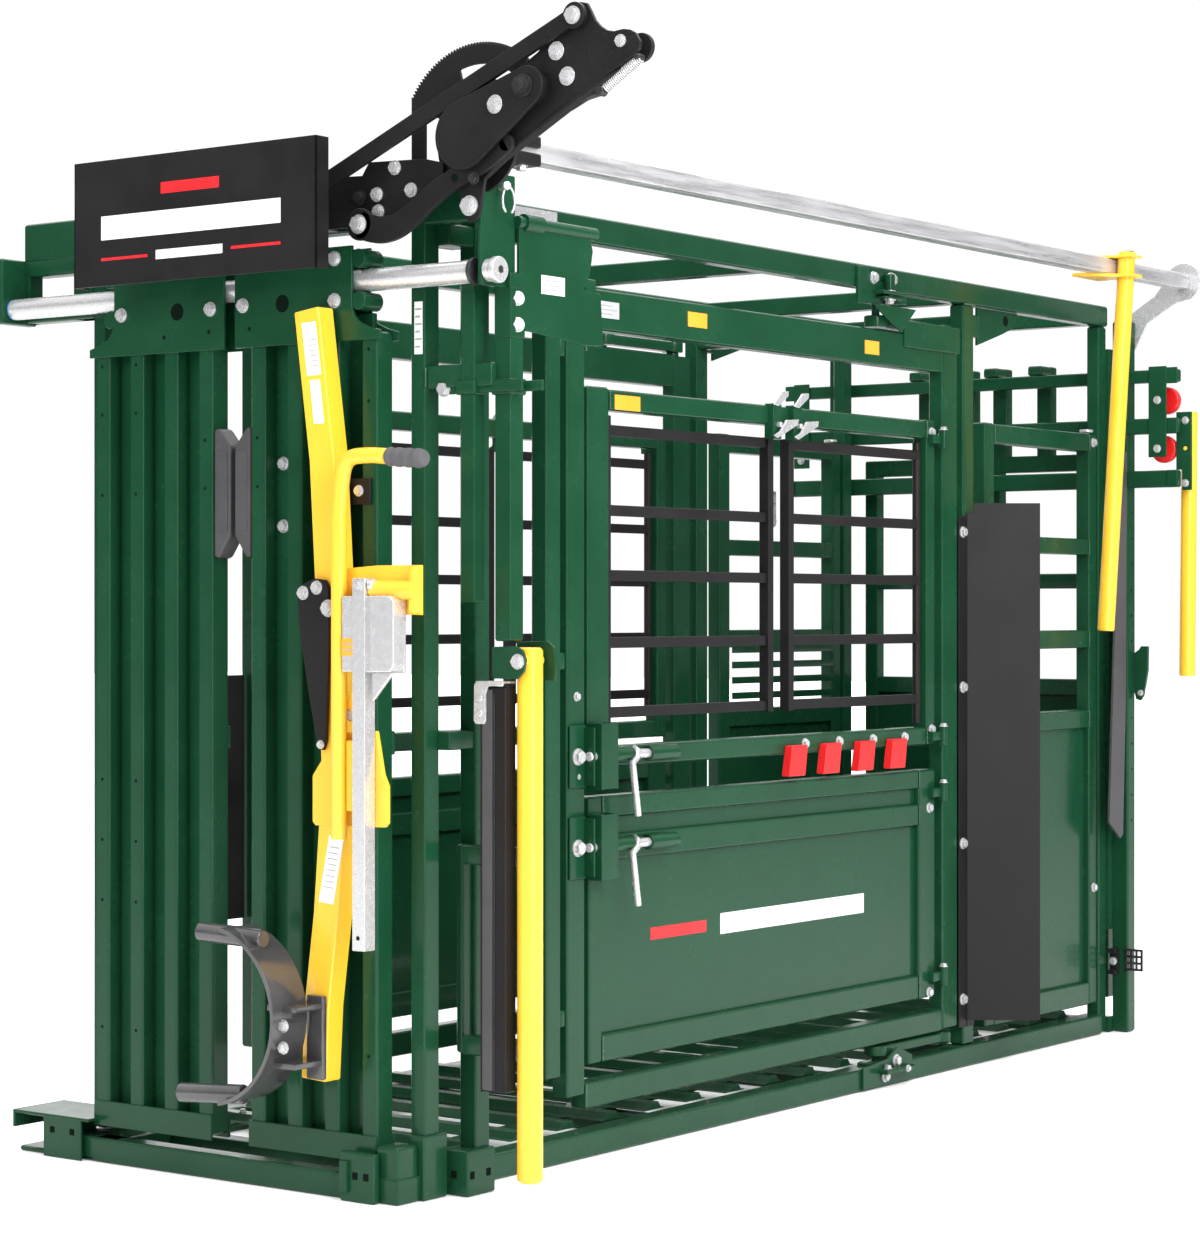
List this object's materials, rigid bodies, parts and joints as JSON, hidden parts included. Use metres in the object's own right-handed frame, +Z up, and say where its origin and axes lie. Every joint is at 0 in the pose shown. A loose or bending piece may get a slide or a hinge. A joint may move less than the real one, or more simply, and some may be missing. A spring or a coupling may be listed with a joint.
{
  "type": "cattle squeeze chute",
  "caption": "Welded livestock squeeze chute with a sliding head gate, parallel squeeze sides, barred window doors, palpation doors and a sliding rear gate.",
  "frame": {"origin": "on the floor under the middle of the chute, at the underside of the middle base cross member", "axes": "+Z up, +X towards the operator's side, +Y from the head gate to the rear"},
  "size_m": [1.846, 3.557, 2.438],
  "materials": {
    "green_paint": "gloss dark green paint",
    "yellow_coat": "satin yellow powder coat",
    "black_coat": "textured black powder coat",
    "galvanised": "galvanised",
    "red_plastic": "moulded red plastic",
    "grey_rubber": "dark grey moulded rubber"
  },
  "bodies": {
    "frame": {"base_frame": "green_paint", "floor_deck": "green_paint", "roof_frame": "green_paint", "head_gate_frame": "green_paint", "mid_frame": "green_paint", "rear_frame": "green_paint", "slide_pipe": "galvanised", "sign_panel": "black_coat", "toothed_quadrant": "black_coat", "rear_bar_bracket": "galvanised", "lock_cover": "black_coat", "wing_plate": "black_coat", "guide_strip": "black_coat"},
    "right_gate": {"right_gate": "green_paint", "right_neck_pad": "grey_rubber"},
    "left_gate": {"left_gate": "green_paint", "left_neck_pad": "grey_rubber"},
    "control_shaft": {"control_bar": "galvanised", "control_lever": "yellow_coat", "rocker": "black_coat"},
    "link_bar": {"link_bar": "black_coat"},
    "curved_arm": {"curved_arm": "black_coat"},
    "pawl": {"pawl": "black_coat"},
    "head_holder": {"holder_arm": "yellow_coat", "holder_handle": "yellow_coat", "lock_housing": "galvanised", "chin_bar": "black_coat"},
    "lock_bar": {"lock_bar": "galvanised"},
    "squeeze_arm_right": {"squeeze_arm_upper_right": "green_paint", "squeeze_arm_lower_right": "green_paint"},
    "squeeze_arm_left": {"squeeze_arm_upper_left": "green_paint", "squeeze_arm_lower_left": "green_paint"},
    "squeeze_side_right": {"squeeze_panel_right": "green_paint"},
    "squeeze_side_left": {"squeeze_panel_left": "green_paint"},
    "upper_door_right": {"upper_door_right": "green_paint", "door_catch_1": "red_plastic", "door_catch_2": "red_plastic", "door_catch_3": "red_plastic", "door_catch_4": "red_plastic", "latch_block_upper": "green_paint"},
    "upper_door_left": {"upper_door_left": "green_paint"},
    "lower_door_right": {"lower_door_right": "green_paint", "latch_block_lower": "green_paint"},
    "lower_door_left": {"lower_door_left": "green_paint"},
    "latch_pin_upper": {"latch_pin_upper": "galvanised"},
    "latch_pin_lower": {"latch_pin_lower": "galvanised"},
    "squeeze_handle": {"squeeze_handle": "yellow_coat"},
    "palpation_door_right": {"palpation_door_right": "green_paint"},
    "palpation_door_left": {"palpation_door_left": "green_paint"},
    "rear_gate_right": {"rear_gate_right": "green_paint"},
    "rear_gate_left": {"rear_gate_left": "green_paint"},
    "rear_lever": {"rear_lever_plate": "green_paint", "rear_lever": "yellow_coat"},
    "rear_roller_upper": {"rear_roller_upper": "red_plastic"},
    "rear_roller_lower": {"rear_roller_lower": "red_plastic"},
    "rear_latch": {"rear_latch": "green_paint"},
    "window_front_right": {"window_front_right": "black_coat"},
    "window_rear_right": {"window_rear_right": "black_coat"},
    "window_front_left": {"window_front_left": "black_coat"},
    "window_rear_left": {"window_rear_left": "black_coat"}
  },
  "joints": [
    {"name": "right_gate_slide", "type": "slide", "parent": "frame", "child": "right_gate", "axis": [1, 0, 0], "range_m": [0, 0.22]},
    {"name": "left_gate_slide", "type": "slide", "parent": "frame", "child": "left_gate", "axis": [-1, 0, 0], "range_m": [0, 0.22]},
    {"name": "control_shaft_turn", "type": "hinge", "parent": "frame", "child": "control_shaft", "pos_m": [0.665, 0, 2.19], "axis": [0, -1, 0], "range_deg": [0, 53]},
    {"name": "link_bar_turn", "type": "hinge", "parent": "control_shaft", "child": "link_bar", "pos_m": [0.95, -1.822, 2.41], "axis": [0, -1, 0], "range_deg": [-45, 0]},
    {"name": "curved_arm_turn", "type": "hinge", "parent": "right_gate", "child": "curved_arm", "pos_m": [0.393, -1.822, 2.038], "axis": [0, -1, 0], "range_deg": [0, 12]},
    {"name": "pawl_turn", "type": "hinge", "parent": "control_shaft", "child": "pawl", "pos_m": [1.074, -1.771, 2.345], "axis": [0, 1, 0], "range_deg": [0, 20], "stiffness_Nm_per_rad": 4, "springref_deg": -20.05},
    {"name": "head_holder_turn", "type": "hinge", "parent": "right_gate", "child": "head_holder", "pos_m": [0.275, -1.837, 1.8], "axis": [0, 1, 0], "range_deg": [0, 25]},
    {"name": "lock_bar_slide", "type": "slide", "parent": "head_holder", "child": "lock_bar", "axis": [0, 0, 1], "range_m": [0, 0.13]},
    {"name": "squeeze_arm_right_turn", "type": "hinge", "parent": "frame", "child": "squeeze_arm_right", "pos_m": [0.4375, 0.17, 1], "axis": [0, 0, 1], "range_deg": [0, 25]},
    {"name": "squeeze_side_right_turn", "type": "hinge", "parent": "squeeze_arm_right", "child": "squeeze_side_right", "pos_m": [0.4375, 0.5, 1], "axis": [0, 0, 1], "range_deg": [-25, 0]},
    {"name": "squeeze_arm_left_turn", "type": "hinge", "parent": "frame", "child": "squeeze_arm_left", "pos_m": [-0.4375, 0.17, 1], "axis": [0, 0, -1], "range_deg": [0, 25]},
    {"name": "squeeze_side_left_turn", "type": "hinge", "parent": "squeeze_arm_left", "child": "squeeze_side_left", "pos_m": [-0.4375, 0.5, 1], "axis": [0, 0, -1], "range_deg": [-25, 0]},
    {"name": "squeeze_handle_turn", "type": "hinge", "parent": "frame", "child": "squeeze_handle", "pos_m": [0.71, -1.655, 1.13], "axis": [0, -1, 0], "range_deg": [0, 61]},
    {"name": "upper_door_right_turn", "type": "hinge", "parent": "squeeze_side_right", "child": "upper_door_right", "pos_m": [0.478, 0.452, 1], "axis": [0, 0, 1], "range_deg": [0, 90]},
    {"name": "lower_door_right_turn", "type": "hinge", "parent": "squeeze_side_right", "child": "lower_door_right", "pos_m": [0.478, 0.452, 0.5], "axis": [0, 0, 1], "range_deg": [0, 90]},
    {"name": "window_front_right_turn", "type": "hinge", "parent": "upper_door_right", "child": "window_front_right", "pos_m": [0.4375, -1.016, 1.3], "axis": [0, 0, -1], "range_deg": [0, 95]},
    {"name": "window_rear_right_turn", "type": "hinge", "parent": "upper_door_right", "child": "window_rear_right", "pos_m": [0.4375, 0.379, 1.3], "axis": [0, 0, 1], "range_deg": [0, 95]},
    {"name": "upper_door_left_turn", "type": "hinge", "parent": "squeeze_side_left", "child": "upper_door_left", "pos_m": [-0.478, 0.452, 1], "axis": [0, 0, -1], "range_deg": [0, 90]},
    {"name": "lower_door_left_turn", "type": "hinge", "parent": "squeeze_side_left", "child": "lower_door_left", "pos_m": [-0.478, 0.452, 0.5], "axis": [0, 0, -1], "range_deg": [0, 90]},
    {"name": "window_front_left_turn", "type": "hinge", "parent": "upper_door_left", "child": "window_front_left", "pos_m": [-0.4375, -1.016, 1.3], "axis": [0, 0, 1], "range_deg": [0, 95]},
    {"name": "window_rear_left_turn", "type": "hinge", "parent": "upper_door_left", "child": "window_rear_left", "pos_m": [-0.4375, 0.379, 1.3], "axis": [0, 0, -1], "range_deg": [0, 95]},
    {"name": "latch_pin_upper_slide", "type": "slide", "parent": "upper_door_right", "child": "latch_pin_upper", "axis": [0, 1, 0], "range_m": [0, 0.05], "stiffness_N_per_m": 200, "springref_m": -0.02},
    {"name": "latch_pin_lower_slide", "type": "slide", "parent": "lower_door_right", "child": "latch_pin_lower", "axis": [0, 1, 0], "range_m": [0, 0.05], "stiffness_N_per_m": 200, "springref_m": -0.02},
    {"name": "palpation_door_right_turn", "type": "hinge", "parent": "frame", "child": "palpation_door_right", "pos_m": [0.403, 1.38, 0.9], "axis": [0, 0, -1], "range_deg": [0, 80]},
    {"name": "palpation_door_left_turn", "type": "hinge", "parent": "frame", "child": "palpation_door_left", "pos_m": [-0.478, 1.38, 0.9], "axis": [0, 0, -1], "range_deg": [0, 90]},
    {"name": "rear_gate_right_slide", "type": "slide", "parent": "frame", "child": "rear_gate_right", "axis": [1, 0, 0], "range_m": [0, 0.21]},
    {"name": "rear_gate_left_slide", "type": "slide", "parent": "frame", "child": "rear_gate_left", "axis": [-1, 0, 0], "range_m": [0, 0.21]},
    {"name": "rear_lever_turn", "type": "hinge", "parent": "frame", "child": "rear_lever", "pos_m": [0.677, 1.5, 1.79], "axis": [0, -1, 0], "range_deg": [0, 35]},
    {"name": "rear_roller_upper_spin", "type": "hinge", "parent": "frame", "child": "rear_roller_upper", "pos_m": [0.621, 1.505, 1.8455], "axis": [0, 1, 0], "continuous": true},
    {"name": "rear_roller_lower_spin", "type": "hinge", "parent": "frame", "child": "rear_roller_lower", "pos_m": [0.612, 1.505, 1.7045], "axis": [0, 1, 0], "continuous": true},
    {"name": "rear_latch_turn", "type": "hinge", "parent": "frame", "child": "rear_latch", "pos_m": [0.535, 1.5035, 0.99], "axis": [0, 1, 0], "range_deg": [0, 60]}
  ],
  "couplings": [
    {"joint": "left_gate_slide", "follows": "right_gate_slide", "ratio": 1},
    {"joint": "control_shaft_turn", "follows": "right_gate_slide", "rad_per_m": 4.2},
    {"joint": "link_bar_turn", "follows": "right_gate_slide", "rad_per_m": -3.552},
    {"joint": "curved_arm_turn", "follows": "right_gate_slide", "rad_per_m": 0.9},
    {"joint": "lock_bar_slide", "follows": "head_holder_turn", "m_per_rad": 0.275},
    {"joint": "squeeze_side_right_turn", "follows": "squeeze_arm_right_turn", "ratio": -1},
    {"joint": "squeeze_arm_left_turn", "follows": "squeeze_arm_right_turn", "ratio": 1},
    {"joint": "squeeze_side_left_turn", "follows": "squeeze_arm_right_turn", "ratio": -1},
    {"joint": "squeeze_handle_turn", "follows": "squeeze_arm_right_turn", "ratio": 2.4},
    {"joint": "rear_gate_left_slide", "follows": "rear_gate_right_slide", "ratio": 1},
    {"joint": "rear_lever_turn", "follows": "rear_gate_right_slide", "rad_per_m": 2.9}
  ]
}
